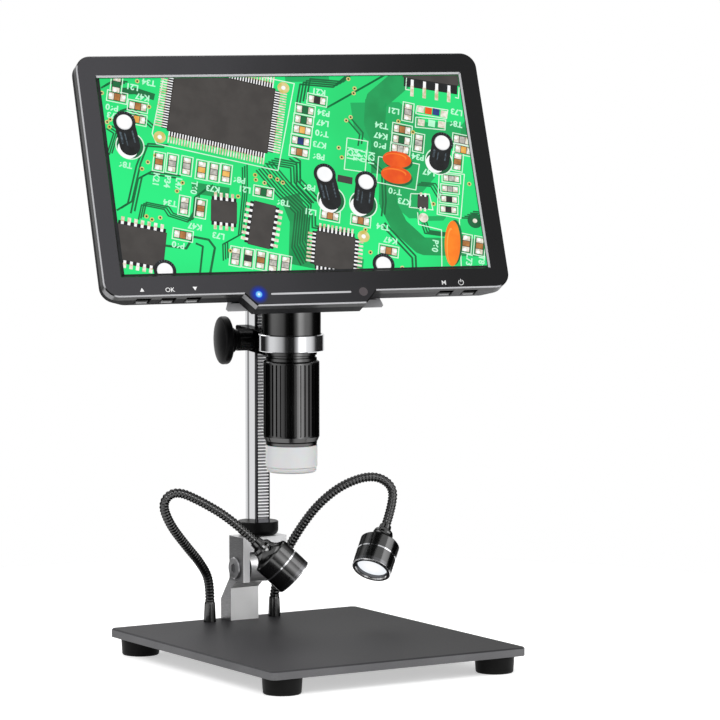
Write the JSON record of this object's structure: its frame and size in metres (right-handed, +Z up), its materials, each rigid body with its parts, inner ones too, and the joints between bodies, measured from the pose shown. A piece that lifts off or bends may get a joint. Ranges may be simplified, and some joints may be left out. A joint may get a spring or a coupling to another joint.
{
  "type": "digital microscope",
  "caption": "Bench digital microscope: flat screen on an upright optical tube, carried by a knob-driven rack column that tilts and swivels on a footed plate, with lamps on flexible arms.",
  "frame": {"origin": "centre of the base plate's top face", "axes": "+X to the right, +Y to the back, +Z up from the plate"},
  "size_m": [0.2516, 0.19, 0.3533],
  "materials": {
    "plate": "satin dark powder coat",
    "rubber": "matte black rubber",
    "grey_metal": "satin cast and machined",
    "steel": "bright zinc-plated",
    "chrome": "polished",
    "carriage_metal": "black anodised",
    "black_metal": "gloss black anodised",
    "lamp_metal": "black anodised",
    "case_plastic": "black moulded, light gloss",
    "knob_plastic": "black moulded",
    "screen": "flat liquid-crystal panel",
    "backlight": "white sheet stack",
    "circuit": "green circuit board",
    "lens_glass": "coated optical glass",
    "lamp_window": "clear window over a lit lamp",
    "frosted": "frosted translucent",
    "indicator": "translucent, lit",
    "receiver": "dark infrared window"
  },
  "bodies": {
    "base": {"base_plate": "plate", "rubber_feet": "rubber", "base_screws": "steel", "pivot_bracket": "grey_metal", "lamp_sleeve_left": "lamp_metal", "gooseneck_left": "lamp_metal", "lamp_housing_left": "lamp_metal", "lamp_ring_left": "chrome", "lamp_bezel_left": "lamp_metal", "lamp_lens_left": "lamp_window", "lamp_led_left": "circuit", "lamp_sleeve_right": "lamp_metal", "gooseneck_right": "lamp_metal", "lamp_housing_right": "lamp_metal", "lamp_ring_right": "chrome", "lamp_bezel_right": "lamp_metal", "lamp_lens_right": "lamp_window", "lamp_led_right": "circuit"},
    "yoke": {"tilt_yoke": "grey_metal", "pivot_bolt": "steel", "pivot_nut": "steel", "friction_washers": "steel"},
    "column": {"swivel_collar": "carriage_metal", "swivel_screw": "steel", "column_bar": "chrome", "rack_strip": "steel", "column_cap": "knob_plastic"},
    "carriage": {"carriage_body": "carriage_metal", "carriage_cover": "carriage_metal", "gib_pad": "knob_plastic", "clamp_ring": "chrome", "ring_liner": "knob_plastic"},
    "knob": {"focus_knob": "knob_plastic", "pinion_shaft": "steel"},
    "head": {"upper_tube": "black_metal", "lens_barrel": "black_metal", "frosted_cap": "frosted", "led_ring": "circuit", "sensor_board": "circuit", "front_bezel": "case_plastic", "rear_cover": "case_plastic", "lcd_panel": "screen", "backlight_unit": "backlight", "panel_frame": "steel", "main_board": "circuit", "key_boards": "circuit", "port_sockets": "steel", "casing_screws": "steel", "power_led": "indicator", "light_bar": "indicator", "receiver_window": "receiver"},
    "focus_ring": {"focus_ring": "black_metal"},
    "lens_cell": {"lens_carrier": "black_metal", "objective_lens": "lens_glass"},
    "key_up": {"button_up": "case_plastic"},
    "key_ok": {"button_ok": "case_plastic"},
    "key_down": {"button_down": "case_plastic"},
    "key_menu": {"button_menu": "case_plastic"},
    "key_power": {"button_power": "case_plastic"}
  },
  "joints": [
    {"name": "column_tilt", "type": "hinge", "parent": "base", "child": "yoke", "pos_m": [0, 0.0663, 0.0339], "axis": [1, 0, 0], "range_deg": [-15, 10]},
    {"name": "column_turn", "type": "hinge", "parent": "yoke", "child": "column", "pos_m": [0, 0.0663, 0.0529], "axis": [0, 0, 1], "range_deg": [-32.6, 57.4]},
    {"name": "carriage_slide", "type": "slide", "parent": "column", "child": "carriage", "axis": [0, 0, 1], "range_m": [-0.085, 0.05]},
    {"name": "knob_turn", "type": "hinge", "parent": "carriage", "child": "knob", "pos_m": [-0.00326, 0.05146, 0.1708], "axis": [0.9767, -0.2147, 0], "range_deg": [-605, 1020]},
    {"name": "tube_turn", "type": "hinge", "parent": "carriage", "child": "head", "pos_m": [-0.01374, 0.00379, 0.173], "axis": [0, 0, 1], "range_deg": [-45, 45]},
    {"name": "focus_turn", "type": "hinge", "parent": "head", "child": "focus_ring", "pos_m": [-0.01374, 0.00379, 0.138], "axis": [0, 0, 1], "range_deg": [-121, 121]},
    {"name": "lens_slide", "type": "slide", "parent": "head", "child": "lens_cell", "axis": [0, 0, 1], "range_m": [-0.003, 0.003]},
    {"name": "press_up", "type": "slide", "parent": "head", "child": "key_up", "axis": [0.089, 0.405, 0.91], "range_m": [0, 0.0007], "stiffness_N_per_m": 800},
    {"name": "press_ok", "type": "slide", "parent": "head", "child": "key_ok", "axis": [0.089, 0.405, 0.91], "range_m": [0, 0.0007], "stiffness_N_per_m": 800},
    {"name": "press_down", "type": "slide", "parent": "head", "child": "key_down", "axis": [0.089, 0.405, 0.91], "range_m": [0, 0.0007], "stiffness_N_per_m": 800},
    {"name": "press_menu", "type": "slide", "parent": "head", "child": "key_menu", "axis": [0.089, 0.405, 0.91], "range_m": [0, 0.0007], "stiffness_N_per_m": 800},
    {"name": "press_power", "type": "slide", "parent": "head", "child": "key_power", "axis": [0.089, 0.405, 0.91], "range_m": [0, 0.0007], "stiffness_N_per_m": 800}
  ],
  "couplings": [
    {"joint": "knob_turn", "follows": "carriage_slide", "rad_per_m": -208.33},
    {"joint": "focus_turn", "follows": "lens_slide", "rad_per_m": 698.13}
  ]
}
